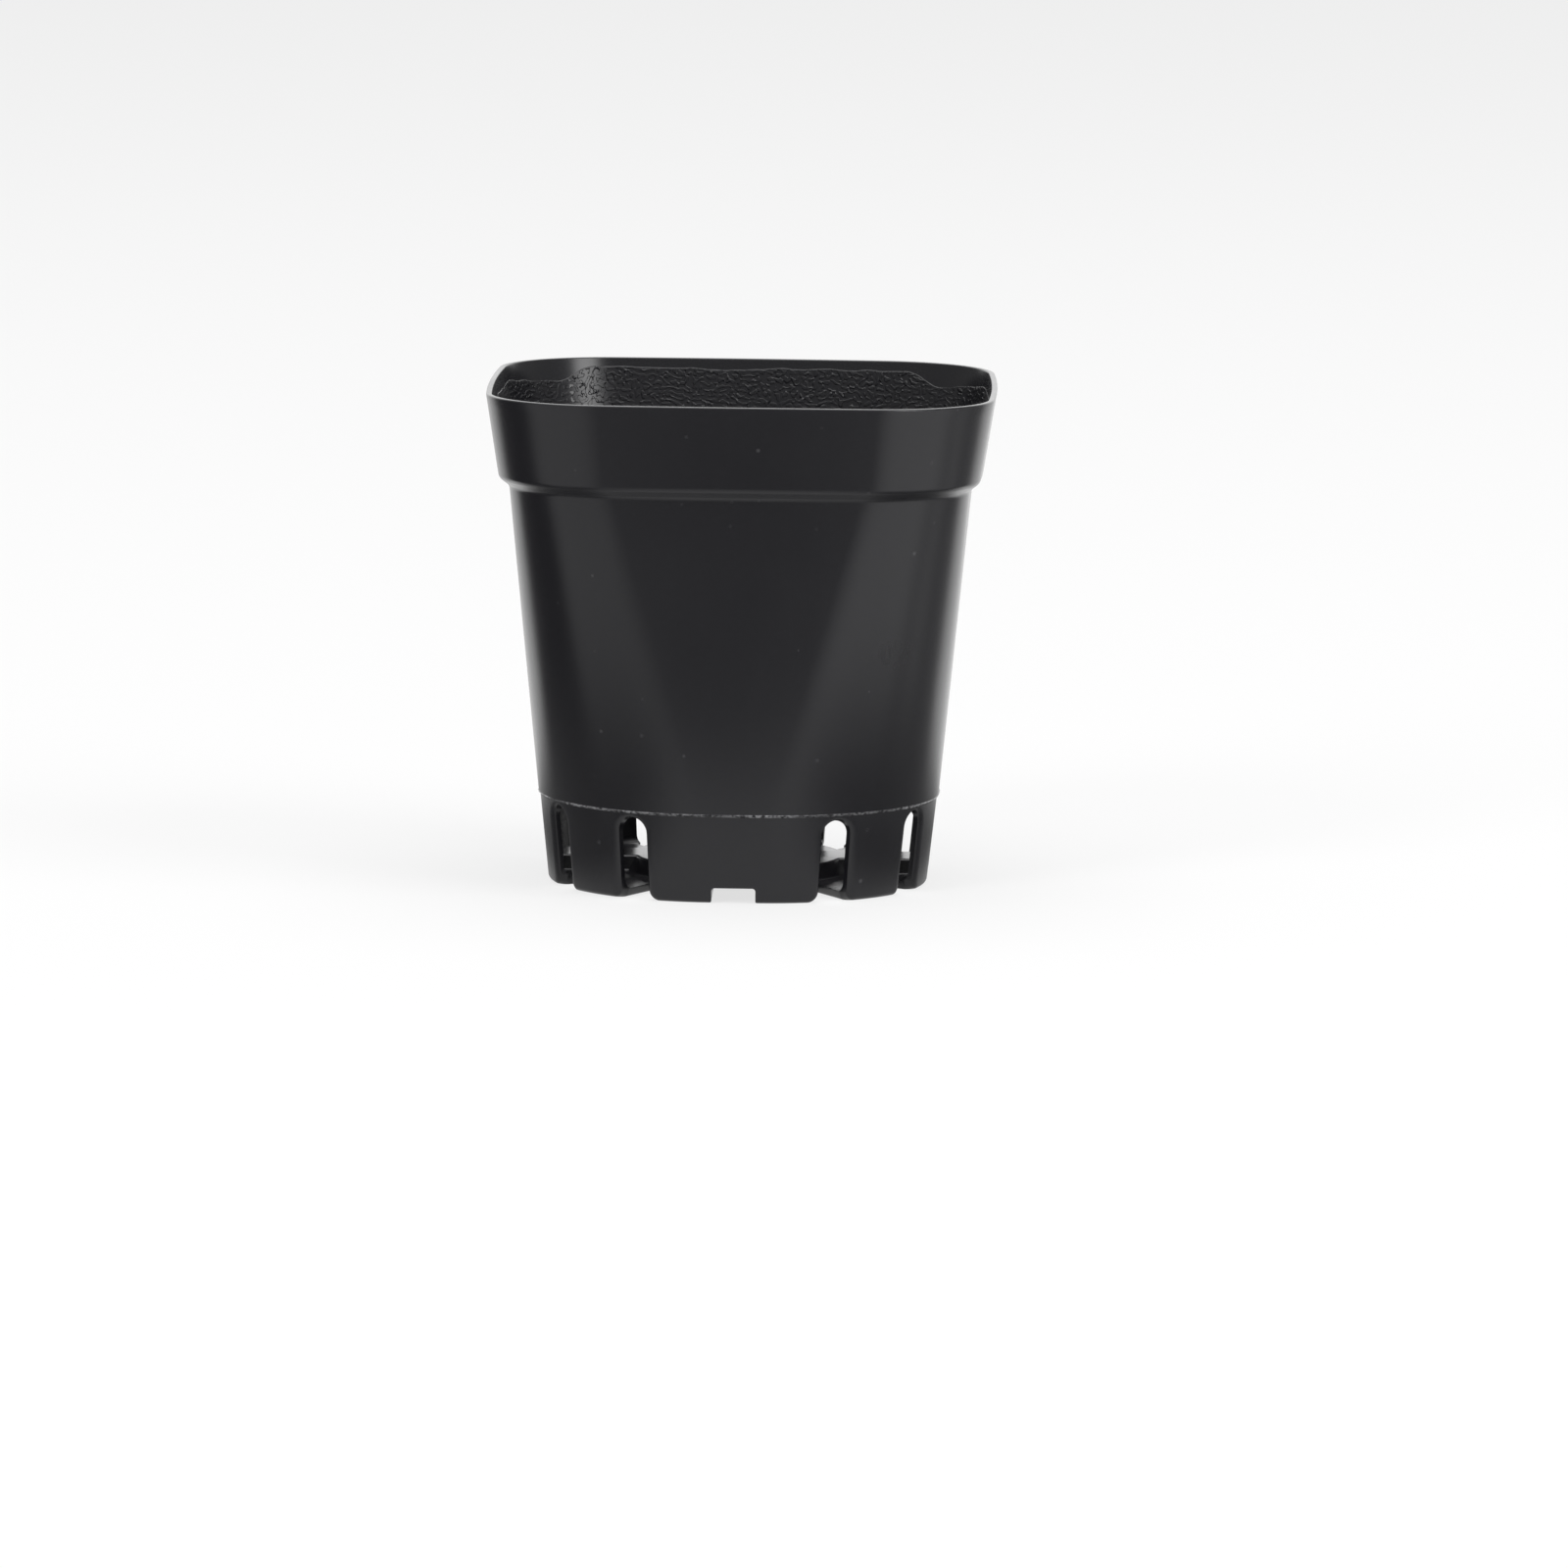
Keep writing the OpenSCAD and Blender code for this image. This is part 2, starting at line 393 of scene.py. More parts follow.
    def flash_rows(self, neck: Section) -> list[tuple[Section, float]]:
        """Lists the outlines across the flash.

        Args:
            neck: the outline at the body's upper end.

        Returns:
            Each outline with its share of the flash's reach.
        """
        reach = self.flash_height / 2
        hold = self.flash_hold
        return [
            (between(self.sole, self.foot, self.foot_height - reach - hold), 0.0),
            (between(self.sole, self.foot, self.foot_height - reach), 0.0),
            (self.foot.inset(0, -hold), 0.75),
            (self.foot.inset(-self.flash_lift), 1.0),
            (self.base.inset(0, hold), 0.8),
            (between(self.base, neck, self.foot_height + reach), 0.0),
            (between(self.base, neck, self.foot_height + reach + hold), 0.0),
        ]

    def lip(self) -> list[Section]:
        """Lists the outlines over the rim's rounded edge, from the outside to the inside."""
        small = self.rim_round
        inner = self.rim.inset(self.wall)
        turns = arc_turns(0, QUARTER, self.lip_steps)
        out = [self.rim.inset(small * (1 - math.cos(t)), small * (math.sin(t) - 1)) for t in turns]
        back = [inner.inset(-small * (1 - math.sin(t)), small * (math.cos(t) - 1)) for t in turns]
        return out + back

    def inside(self, lip: Section) -> list[Section]:
        """Lists the outlines below the lip, down the inside to the floor."""
        ledge_turns = arc_turns(self.collar_turn, self.shoulder_turn, self.ledge_steps)
        neck_turns = arc_turns(self.shoulder_turn, self.neck_turn, self.ledge_steps)
        ledge = [self.shoulder(float(t), self.wall) for t in ledge_turns]
        ledge += [self.crease_inside(float(t)) for t in neck_turns]
        sole = self.sole.inset(self.foot_wall)
        foot = self.foot.inset(self.foot_wall)
        bottom = self.quarter_round(sole, foot, self.floor, self.floor_round)[::-1]
        return (
            self.straight(lip, ledge[0], self.collar_steps)
            + ledge
            + self.straight(ledge[-1], foot, self.body_steps)
            + [foot]
            + self.straight(foot, bottom[0], self.low_steps)
            + bottom
        )

    def rows(self) -> tuple[list[Section], list[float]]:
        """Lists the outlines from the sole up the outside, over the rim and down to the floor.

        Returns:
            The outlines, and the share of the flash's reach that each row takes.
        """
        crease_turns = arc_turns(self.neck_turn, self.shoulder_turn, self.round_steps)
        shoulder_turns = arc_turns(self.shoulder_turn, self.collar_turn, self.shoulder_steps)
        crease = [self.crease(float(t)) for t in crease_turns]
        shoulder = [self.shoulder(float(t), 0) for t in shoulder_turns]
        sole = self.quarter_round(self.sole, self.foot, 0, self.edge_round)
        flash = self.flash_rows(crease[0])
        lip = self.lip()
        rim_low = self.rim.inset(0, -self.rim_round)
        below = sole + self.straight(sole[-1], flash[0][0], self.foot_steps)
        above = (
            self.straight(flash[-1][0], crease[0], self.body_steps)
            + crease
            + shoulder
            + self.straight(shoulder[-1], rim_low, self.collar_steps)
            + lip
            + self.inside(lip[-1])
        )
        plan = [(s, 0.0) for s in below] + flash + [(s, 0.0) for s in above]
        return [p[0] for p in plan], [p[1] for p in plan]

    def build(self) -> Thing:
        """Makes the closed skin of the walls and the plain floor."""
        sections, shares = self.rows()
        swell = np.array(shares)[:, None] * self.flash_ragged()[None, :] * self.flash_reach
        return capped_tube("pot_skin", self.outline.skin(sections, swell))

    def reach(self, way: Array, across: Array, height: Array) -> Array:
        """Finds how far out the foot's outer skin lies along a slot.

        The point sought is way * reach + side * across, with side square to way. It lies on a
        corner's arc, so its distance from the arc's centre is the corner's radius, which gives
        a quadratic.

        Args:
            way: the slot's direction, as two numbers.
            across: distances sideways from the slot's middle line.
            height: heights.

        Returns:
            The distances along the slot, in millimetres.
        """
        share = np.clip(height, 0, self.foot_height) / self.foot_height
        half = self.sole.half + (self.foot.half - self.sole.half) * share
        corner = self.sole.corner + (self.foot.corner - self.sole.corner) * share
        _, centre = self.outline.arcs(half, corner)
        side = np.array([-way[1], way[0]])
        middle = np.sign(way)
        start_x = side[0] * across - centre * middle[0]
        start_y = side[1] * across - centre * middle[1]
        along = start_x * way[0] + start_y * way[1]
        return -along + np.sqrt(along**2 - start_x**2 - start_y**2 + corner**2)


@dataclass
class DrainSlots:
    """The eight slots: an arched window in the wall, and its run through the floor."""

    walls: Walls
    turn: float = math.radians(30)
    width: float = 4.2
    web: float = 0.8
    panel_round: float = 1.5
    corner_round: float = 1.2
    least_round: float = 0.02
    flare: float = 1.8
    draft: float = 0.8
    inner_end: float = 16.6
    outer_gap: float = 0.5
    floor_edge: float = 0.3
    floor_over: float = 2.6
    over: float = 1.5
    arch_steps: int = 20
    round_steps: int = 8
    edge_steps: int = 7
    floor_steps: int = 4
    end_points: int = 17

    def window(self, offset: Array) -> tuple[Array, Array]:
        """Works out a window's outline, moved out by an offset.

        The outline runs up the panel's side, over the arch and down the corner's side. Each
        lower corner is a quarter circle that bends away from the window, and the arch is half a
        circle. Outwards, the outline moves further sideways than upwards, so the window's edges
        are eased most at its sides.

        Args:
            offset: how far the outline is moved out into the wall, one value for each ring.

        Returns:
            Distances sideways and heights, as rings by points. The panel's side comes first.
        """
        half = self.width / 2
        top = self.walls.foot_height - self.web - half
        turns = arc_turns(math.pi, 0, self.arch_steps)[None, :]
        grow = offset[:, None]
        spread = np.where(grow > 0, grow * self.flare, grow)
        arch_x = (half + spread) * np.cos(turns)
        arch_z = top + (half + grow) * np.sin(turns)
        drop = arc_turns(QUARTER, 0, self.round_steps)[None, :]
        parts_x, parts_z = [], []
        for side, radius in ((-1, self.panel_round), (1, self.corner_round)):
            small_x = np.maximum(radius - spread, self.least_round)
            small_z = np.maximum(radius - grow, self.least_round)
            x = side * (half + radius - small_x * np.cos(drop))
            z = radius - small_z * np.sin(drop)
            end_x = np.full_like(grow, side * (half + radius))
            foot_x = np.concatenate([end_x, x], axis=1)
            foot_z = np.concatenate([np.full_like(grow, -self.over), z], axis=1)
            parts_x.append(foot_x if side < 0 else foot_x[:, ::-1])
            parts_z.append(foot_z if side < 0 else foot_z[:, ::-1])
        across = np.concatenate([parts_x[0], arch_x, parts_x[1]], axis=1)
        height = np.concatenate([parts_z[0], arch_z, parts_z[1]], axis=1)
        return across, height

    def cutter(self, name: str, turn: float, panel_side: int) -> Thing:
        """Makes the solid that cuts one window, with its rounded outer edge.

        Each ring is the window's outline, moved out by radius * (1 - cos) and held below the
        outer skin by radius * (1 - sin) as the turn goes from the window's wall to the skin.

        Args:
            name: the object's name.
            turn: the slot's direction round the pot.
            panel_side: 1 where the side panel lies anticlockwise of the slot, or -1.

        Returns:
            The cutter.
        """
        way = np.array([math.cos(turn), math.sin(turn)])
        edge = self.walls.edge_round
        turns = arc_turns(0, QUARTER, self.edge_steps)
        offset = np.concatenate([[-self.draft], edge * (1 - np.cos(turns)), [edge]])
        across, height = self.window(offset)
        across = across * -panel_side
        skin = self.walls.reach(way, across, height)
        depth = np.concatenate([[0.0], edge * (1 - np.sin(turns)), [-self.over]])[:, None]
        along = skin - depth
        along[0] = self.walls.sole_half - self.walls.foot_wall - self.walls.floor_round / 2
        grid = swung(along, across, np.broadcast_to(height, along.shape), turn)
        if panel_side < 0:
            grid = grid[:, ::-1]
        return capped_tube(name, grid)

    def trench(self, name: str, turn: float) -> Thing:
        """Makes the solid that cuts one slot through the floor, with eased edges underneath."""
        half = self.width / 2
        start = self.inner_end + half
        end = self.walls.sole_half - self.outer_gap
        bend = np.linspace(QUARTER, 3 * QUARTER, self.end_points)[None, :]
        ease = arc_turns(0, QUARTER, self.floor_steps)
        edge = self.floor_edge
        offset = np.concatenate([[edge], edge * (1 - np.sin(ease)), [0.0]])[:, None]
        top = self.walls.floor + self.floor_over
        level = np.concatenate([[-self.over], edge * (1 - np.cos(ease)), [top]])
        ends = np.full_like(offset, end)
        x = np.concatenate([ends, start + (half + offset) * np.cos(bend), ends], axis=1)
        y = np.concatenate([half + offset, (half + offset) * np.sin(bend), -half - offset], axis=1)
        return capped_tube(name, swung(x, y, np.broadcast_to(level[:, None], x.shape), turn))

    def build(self) -> list[Thing]:
        """Makes all the cutters, a pair for each slot."""
        cutters = []
        for quarter in range(4):
            for side in (1, -1):
                turn = quarter * QUARTER + side * self.turn
                cutters.append(self.cutter(f"window_{quarter}_{side}", turn, -side))
                cutters.append(self.trench(f"trench_{quarter}_{side}", turn))
        return cutters


@dataclass
class HubAndChannels:
    """The raised middle of the floor with its four arms, and the hollow and channels below."""

    walls: Walls
    radius: float = 14.5
    lean: float = 1.2
    arm_lean: float = 0.3
    channel_height: float = 2.1
    channel_width: float = 6.0
    edge: float = 0.45
    fillet: float = 0.5
    ease: float = 0.3
    sink: float = 0.03
    root: float = 0.4
    over: float = 1.5
    gate_radius: float = 0.9
    gate_length: float = 0.5
    edge_steps: int = 5
    ease_steps: int = 4
    hub_points: int = 160
    hollow_points: int = 128
    gate_points: int = 32

    @property
    def top(self) -> float:
        """Height of the hub's top."""
        return self.channel_height + self.walls.floor

    def bank(self, reach: float, lean: float) -> tuple[Array, Array]:
        """Works out the profile of a raised bank, from its foot on the floor to its top edge.

        A hollow quarter blends the floor into the side, and a round quarter blends the side
        into the top.

        Args:
            reach: distance of the top's edge from the middle.
            lean: how far the side leans out towards the floor.

        Returns:
            Distances from the middle and heights.
        """
        slope = math.atan2(lean, self.top - self.walls.floor)
        low = arc_turns(0, QUARTER - slope, self.edge_steps)
        floor = self.walls.floor - self.sink
        foot_x = reach + lean + self.fillet * (math.tan((QUARTER - slope) / 2) - np.sin(low))
        foot_z = floor + self.fillet * (1 - np.cos(low))
        high = arc_turns(slope, QUARTER, self.edge_steps)
        back = reach - self.edge * math.tan((QUARTER - slope) / 2)
        top_x = back + self.edge * np.cos(high)
        top_z = self.top - self.edge + self.edge * np.sin(high)
        out = np.concatenate([foot_x[:1], foot_x, top_x])
        return out, np.concatenate([[floor - self.root], foot_z, top_z])

    def undercut(self, reach: float) -> tuple[Array, Array]:
        """Works out the profile of what is cut below: an eased mouth and a rounded upper edge.

        Args:
            reach: distance of the side from the middle.

        Returns:
            Distances from the middle and heights.
        """
        low = arc_turns(0, QUARTER, self.ease_steps)
        bend = arc_turns(0, QUARTER, self.edge_steps)
        mouth_x = reach + self.ease * (1 - np.sin(low))
        mouth_z = self.ease * (1 - np.cos(low))
        edge_x = reach - self.edge * (1 - np.cos(bend))
        edge_z = self.channel_height - self.edge * (1 - np.sin(bend))
        out = np.concatenate([[reach + self.ease], mouth_x, edge_x])
        return out, np.concatenate([[-self.over], mouth_z, edge_z])

    def hub(self) -> Thing:
        """Makes the round hub by turning its bank about the pot's axis."""
        return capped_tube("hub", revolved(*self.bank(self.radius, self.lean), self.hub_points))

    def arm(self, name: str, turn: float) -> Thing:
        """Makes one long arm across the floor: a bank on each side, from wall to wall."""
        half = self.channel_width / 2 + self.walls.floor
        end = self.walls.sole_half - self.walls.foot_wall / 2
        bank = self.bank(half - self.arm_lean, self.arm_lean)
        return capped_tube(name, carried(*bank, end, turn))

    def hollow(self) -> Thing:
        """Makes the solid that cuts the hollow under the hub."""
        radius = self.radius - self.walls.floor + self.lean / 2
        return capped_tube("hollow", revolved(*self.undercut(radius), self.hollow_points))

    def channel(self, name: str, turn: float) -> Thing:
        """Makes the solid that cuts one long channel."""
        side = self.undercut(self.channel_width / 2)
        return capped_tube(name, carried(*side, self.walls.rim_half, turn))

    def gate(self) -> Thing:
        """Makes the short stub that the mould's gate left under the middle, with a worn end."""
        reach = np.array([0.86, 1.0, 1.0]) * self.gate_radius
        level = self.channel_height - self.gate_length * np.array([1.0, 0.85, -1.0])
        return capped_tube("gate", revolved(reach, level, self.gate_points))

    def raised(self) -> list[Thing]:
        """Makes what is added to the floor."""
        return [self.hub(), self.arm("arm_x", 0.0), self.arm("arm_y", QUARTER)]

    def cuts(self) -> list[Thing]:
        """Makes what is cut out underneath."""
        return [self.hollow(), self.channel("channel_x", 0.0), self.channel("channel_y", QUARTER)]


def apply_modifiers(thing: Thing) -> None:
    """Replaces an object's mesh by what its modifiers make of it."""
    view = bpy.context.evaluated_depsgraph_get()
    made = bpy.data.meshes.new_from_object(thing.evaluated_get(view))
    thing.modifiers.clear()
    thing.data = made


def combine(target: Thing, others: list[Thing], way: Join) -> None:
    """Adds solids to a solid, or cuts them out of it.

    Args:
        target: the solid that changes.
        others: the solids, which are removed afterwards.
        way: whether they are added or cut out.
    """
    for other in others:
        step = target.modifiers.new(other.name, "BOOLEAN")
        step.operation = way.value
        step.solver = "MANIFOLD"
        step.object = other
    apply_modifiers(target)
    for other in others:
        bpy.data.objects.remove(other)


def island(start: bmesh.types.BMFace, limit: int) -> set[bmesh.types.BMFace]:
    """Finds the faces joined to one face by plain edges, if they are few.

    Args:
        start: the face to start from.
        limit: the most faces that a small island may have.

    Returns:
        The island's faces, or none where it is larger than the limit.
    """
    found = {start}
    open_ends = [start]
    while open_ends and len(found) <= limit:
        for edge in open_ends.pop().edges:
            if len(edge.link_faces) == 2:
                fresh = set(edge.link_faces) - found
                found |= fresh
                open_ends += fresh
    return found if len(found) <= limit else set()


def drop_folds(thing: Thing, near: float = 1e-7, limit: int = 12) -> None:
    """Joins points that lie together and removes the folds of no thickness that the cuts leave.

    Args:
        thing: the solid, whose mesh becomes triangles.
        near: the distance within which points are joined, in metres.
        limit: the most faces that a fold may have.
    """
    work = bmesh.new()
    work.from_mesh(thing.data)
    bmesh.ops.triangulate(work, faces=work.faces[:])
    bmesh.ops.remove_doubles(work, verts=work.verts[:], dist=near)
    folds: set[bmesh.types.BMFace] = set()
    for edge in work.edges:
        if len(edge.link_faces) != 2:
            for face in edge.link_faces:
                folds |= island(face, limit)
    bmesh.ops.delete(work, geom=list(folds), context="FACES")
    LOG.info("%s: %d folded faces removed", thing.name, len(folds))
    work.to_mesh(thing.data)
    work.free()


class Nodes:
    """A small helper that adds shader nodes and joins them."""

    def __init__(self, owner: bpy.types.Material | bpy.types.World) -> None:
        """Starts with the owner's own tree, emptied."""
        owner.use_nodes = True
        self.tree = owner.node_tree
        self.tree.nodes.clear()

    def add(self, kind: str, values: dict | None = None, **settings: object) -> bpy.types.Node:
        """Adds a node.

        Args:
            kind: the node's Blender type.
            values: input name or number to a value, or to the output socket that feeds it.
            settings: the node's own properties.

        Returns:
            The node.
        """
        node = self.tree.nodes.new(kind)
        for name, value in settings.items():
            setattr(node, name, value)
        for key, value in (values or {}).items():
            socket = node.inputs[key]
            if isinstance(value, Socket):
                self.tree.links.new(value, socket)
            else:
                socket.default_value = value
        return node

    def math(self, operation: str, a: Feed, b: Feed = 0.0, c: Feed = 0.0) -> Socket:
        """Adds a Math node and returns its output."""
        return self.add("ShaderNodeMath", {0: a, 1: b, 2: c}, operation=operation).outputs[0]

    def ramp(self, value: Feed, low: float, high: float, start: float = 0.0, end: float = 1.0) -> Socket:
        """Maps a value from low..high to start..end with smooth ends, and returns the output."""
        node = self.add(
            "ShaderNodeMapRange",
            {"Value": value, "From Min": low, "From Max": high, "To Min": start, "To Max": end},
            interpolation_type="SMOOTHSTEP",
        )
        return node.outputs["Result"]

    def noise(self, where: Socket, scale: float, detail: float, output: str = "Fac") -> Socket:
        """Adds a noise pattern and returns one of its outputs."""
        values = {"Vector": where, "Scale": scale, "Detail": detail}
        return self.add("ShaderNodeTexNoise", values).outputs[output]

    def split(self, vector: Socket) -> bpy.types.NodeOutputs:
        """Splits a vector and returns its X, Y and Z outputs."""
        return self.add("ShaderNodeSeparateXYZ", {"Vector": vector}).outputs

    def vector(self, operation: str, values: dict) -> bpy.types.NodeOutputs:
        """Adds a Vector Math node and returns its outputs."""
        return self.add("ShaderNodeVectorMath", values, operation=operation).outputs

    def placed(self, vector: Socket, turn: float, scale: tuple[float, float, float]) -> Socket:
        """Turns a vector about Y, scales it and returns the output."""
        values = {"Vector": vector, "Rotation": (0.0, turn, 0.0), "Scale": scale}
        return self.add("ShaderNodeMapping", values).outputs["Vector"]

    def emission(self, strength: Feed) -> Socket:
        """Adds a white Emission shader and returns its output."""
        return self.add("ShaderNodeEmission", {"Color": WHITE, "Strength": strength}).outputs[0]

    def mix_shader(self, share: Feed, first: Socket, second: Socket) -> Socket:
        """Mixes two shaders and returns the output."""
        return self.add("ShaderNodeMixShader", {0: share, 1: first, 2: second}).outputs[0]

    def mix_level(self, share: Socket, a: Feed, b: Feed) -> Socket:
        """Mixes two numbers and returns the output."""
        values = {"Factor": share, "A": a, "B": b}
        return self.add("ShaderNodeMix", values, data_type="FLOAT").outputs[0]


@dataclass(frozen=True)
class MouldedBlack:
    """Black satin plastic: smooth outside, with a leather grain inside under a plain band.

    The flash's level, the grain and the band are in millimetres, and all other lengths in metres.
    A scale is about the number of a pattern's features in a metre.
    """

    colour: tuple[float, float, float] = (0.0082, 0.0080, 0.0100)
    # Pale grey for the dust specks, and for the flash, where it is partly trim whitening and partly a
    # painted highlight.
    pale: tuple[float, float, float] = (0.30, 0.30, 0.31)
    roughness: float = 0.24
    ior: float = 1.49
    cloud_scale: float = 45.0
    streak_scale: float = 520.0
    streak_stretch: float = 0.18
    fine_scale: float = 2600.0
    skin_bump: float = 0.00016
    flash_level: float = 12.2
    flash_patch_scale: float = 110.0
    flash_crumb_scale: float = 2100.0
    dust_scale: float = 330.0
    dust_level: float = 0.14
    scuff_place: tuple[float, float, float] = (0.0218, -0.0260, 0.0344)
    scuff_scale: float = 600.0
    scuff_rough: float = 0.14
    scuff_bump: float = 0.10
    grain_spacing: float = 0.72
    grain_height: float = 0.13
    grain_rough: float = 0.04
    warp_scale: float = 900.0
    warp_reach: float = 0.0005
    edge_wave_scale: float = 190.0
    edge_wave: float = 0.0012
    band: float = 1.4
    corner_band: float = 1.9
    band_step: float = 0.07

    def shader(self, n: Nodes, colour: object, roughness: Feed, bump: bpy.types.Node) -> None:
        """Ends a tree with the plastic's own shader."""
        values = {
            "Base Color": colour,
            "Roughness": roughness,
            "IOR": self.ior,
            "Normal": bump.outputs["Normal"],
        }
        shader = n.add("ShaderNodeBsdfPrincipled", values)
        n.add("ShaderNodeOutputMaterial", {"Surface": shader.outputs["BSDF"]})

    def flash(self, n: Nodes, where: Socket) -> Socket:
        """Marks the flash at the parting line in pale grey, here and there: partly whitening where it
        was trimmed, and partly a painted highlight that stands in for the light the flash's ridge
        catches.
        """
        height = n.split(where)["Z"]
        away = n.math("ABSOLUTE", n.math("SUBTRACT", height, self.flash_level * MM))
        line = n.ramp(away, 0.00010, 0.00026, 1.0, 0.0)
        patchy = n.noise(where, self.flash_patch_scale, 2.0)
        crumb = n.noise(where, self.flash_crumb_scale, 1.0)
        patches = n.ramp(patchy, 0.38, 0.66, 0.25, 1.0)
        return n.math("MULTIPLY", line, n.math("MULTIPLY", patches, n.ramp(crumb, 0.36, 0.62)))

    def dust(self, n: Nodes, where: Socket) -> Socket:
        """Marks a few small specks: the middles of some of the cells of a cell pattern."""
        cells = n.add("ShaderNodeTexVoronoi", {"Vector": where, "Scale": self.dust_scale})
        chance = n.split(cells.outputs["Color"])
        few = n.math("GREATER_THAN", chance["X"], 0.55)
        size = n.math("MULTIPLY_ADD", chance["Y"], 0.10, 0.06)
        far = n.math("DIVIDE", cells.outputs["Distance"], size)
        dot = n.ramp(far, 0.15, 1.0, 1.0, 0.0)
        return n.math("MULTIPLY", n.math("MULTIPLY", few, dot), chance["Z"])

    def scuff(self, n: Nodes, where: Socket) -> Socket:
        """Marks a small rubbed patch on the right of the front."""
        apart = n.vector("SUBTRACT", {0: where, 1: Vector(self.scuff_place)})[0]
        far = n.vector("LENGTH", {0: n.placed(apart, 0.6, (1.0, 1.0, 1.7))})["Value"]
        lines = n.placed(apart, 0.9, (3.0, 1.0, 0.6))
        rubbed = n.noise(lines, self.scuff_scale, 3.0)
        return n.math("MULTIPLY", n.ramp(far, 0.0018, 0.0042, 1.0, 0.0), n.ramp(rubbed, 0.44, 0.62))

    def outside(self) -> bpy.types.Material:
        """Makes the smooth finish, with faint flow marks, dust, a scuff and a pale flash that is partly
        trim whitening and partly a painted highlight.
        """
        material = bpy.data.materials.new("black_plastic_smooth")
        n = Nodes(material)
        where = n.add("ShaderNodeTexCoord").outputs["Object"]
        cloud = n.noise(where, self.cloud_scale, 2.0)
        long = n.placed(where, 0.0, (1.0, 1.0, self.streak_stretch))
        streak = n.noise(long, self.streak_scale, 2.0)
        fine = n.noise(where, self.fine_scale, 2.0)
        scuff = self.scuff(n, where)
        clouded = n.ramp(cloud, 0.3, 0.7, self.roughness - 0.01, self.roughness + 0.02)
        rough = n.math("ADD", clouded, n.ramp(streak, 0.35, 0.75, -0.004, 0.006))
        rough = n.math("MULTIPLY_ADD", scuff, self.scuff_rough, rough)
        height = n.math("MULTIPLY_ADD", fine, 0.014, n.math("MULTIPLY", cloud, 0.3))
        height = n.math("MULTIPLY_ADD", scuff, self.scuff_bump, height)
        values = {"Height": height, "Distance": self.skin_bump, "Strength": 0.5}
        bump = n.add("ShaderNodeBump", values)
        dust = n.math("MULTIPLY", self.dust(n, where), self.dust_level)
        # Pale grey goes in at the dust specks and along the flash; along the flash it is partly trim
        # whitening and partly a painted highlight for the light the ridge catches.
        dust_whitening_and_painted_highlight = n.math("MAXIMUM", self.flash(n, where), dust)
        values = {"Factor": dust_whitening_and_painted_highlight, "A": (*self.colour, 1.0), "B": (*self.pale, 1.0)}
        colour = n.add("ShaderNodeMix", values, data_type="RGBA").outputs["Result"]
        self.shader(n, colour, rough, bump)
        return material

    def band_edge(self, n: Nodes, where: Socket, turn: Feed) -> Socket:
        """Works out where the plain band ends: wavy, and deeper on the corners.

        Args:
            n: the material's nodes.
            where: the point's place.
            turn: the point's turn past the corner's middle, in degrees.

        Returns:
            The depth below the rim, in metres.
        """
        wave = n.math("SUBTRACT", n.noise(where, self.edge_wave_scale, 2.0), 0.5)
        limit = n.math("MULTIPLY_ADD", wave, self.edge_wave, self.band * MM)
        corner = n.ramp(turn, 3.5, 11.5, self.corner_band * MM, 0.0)
        side = n.ramp(turn, -12.0, 4.0, -0.5 * self.corner_band * MM, 0.0)
        return n.math("ADD", limit, n.math("ADD", corner, side))

    def worms(self, n: Nodes, where: Socket) -> Socket:
        """Makes the bent ridges of the grain, from 0 between them to 1 on their tops."""
        warp = n.noise(where, self.warp_scale, 0.0, "Color")
        bent = n.vector("SCALE", {0: warp, "Scale": self.warp_reach})[0]
        cell = 2.0 * self.grain_spacing * MM
        values = {
            "Vector": n.vector("ADD", {0: where, 1: bent})[0],
            "Scale": 1.0 / cell,
            "Frequency": 2.0,
            "Anisotropy": 0.0,
        }
        worm = n.add("ShaderNodeTexGabor", values, gabor_type="3D").outputs["Value"]
        return n.ramp(worm, 0.50, 0.57)

    def inside(self, rim: float) -> bpy.types.Material:
        """Makes the grained finish.

        Args:
            rim: height of the rim in metres, from which the plain band is measured.

        Returns:
            The material.
        """
        material = bpy.data.materials.new("black_plastic_grain")
        n = Nodes(material)
        where = n.add("ShaderNodeTexCoord").outputs["Object"]
        place = n.split(where)
        depth = n.math("SUBTRACT", rim, place["Z"])
        across = n.math("ABSOLUTE", place["X"])
        along = n.math("ABSOLUTE", place["Y"])
        aside = n.math("SUBTRACT", n.math("ARCTAN2", along, across), QUARTER / 2)
        turn = n.math("DEGREES", aside)
        past = n.math("SUBTRACT", depth, self.band_edge(n, where, turn))
        mask = n.ramp(past, -0.00008, 0.00010)
        near_corner = n.math("ABSOLUTE", n.math("SUBTRACT", turn, 4.0))
        strip = n.ramp(near_corner, 1.9, 2.9, 0.25, 1.0)
        ridge = n.math("MULTIPLY", self.worms(n, where), strip)
        rise = n.math("MULTIPLY_ADD", ridge, self.grain_height, self.band_step)
        values = {"Height": n.math("MULTIPLY", rise, mask), "Distance": MM, "Strength": 1.0}
        bump = n.add("ShaderNodeBump", values)
        rough = n.math("MULTIPLY_ADD", mask, self.grain_rough, self.roughness)
        self.shader(n, (*self.colour, 1.0), rough, bump)
        return material


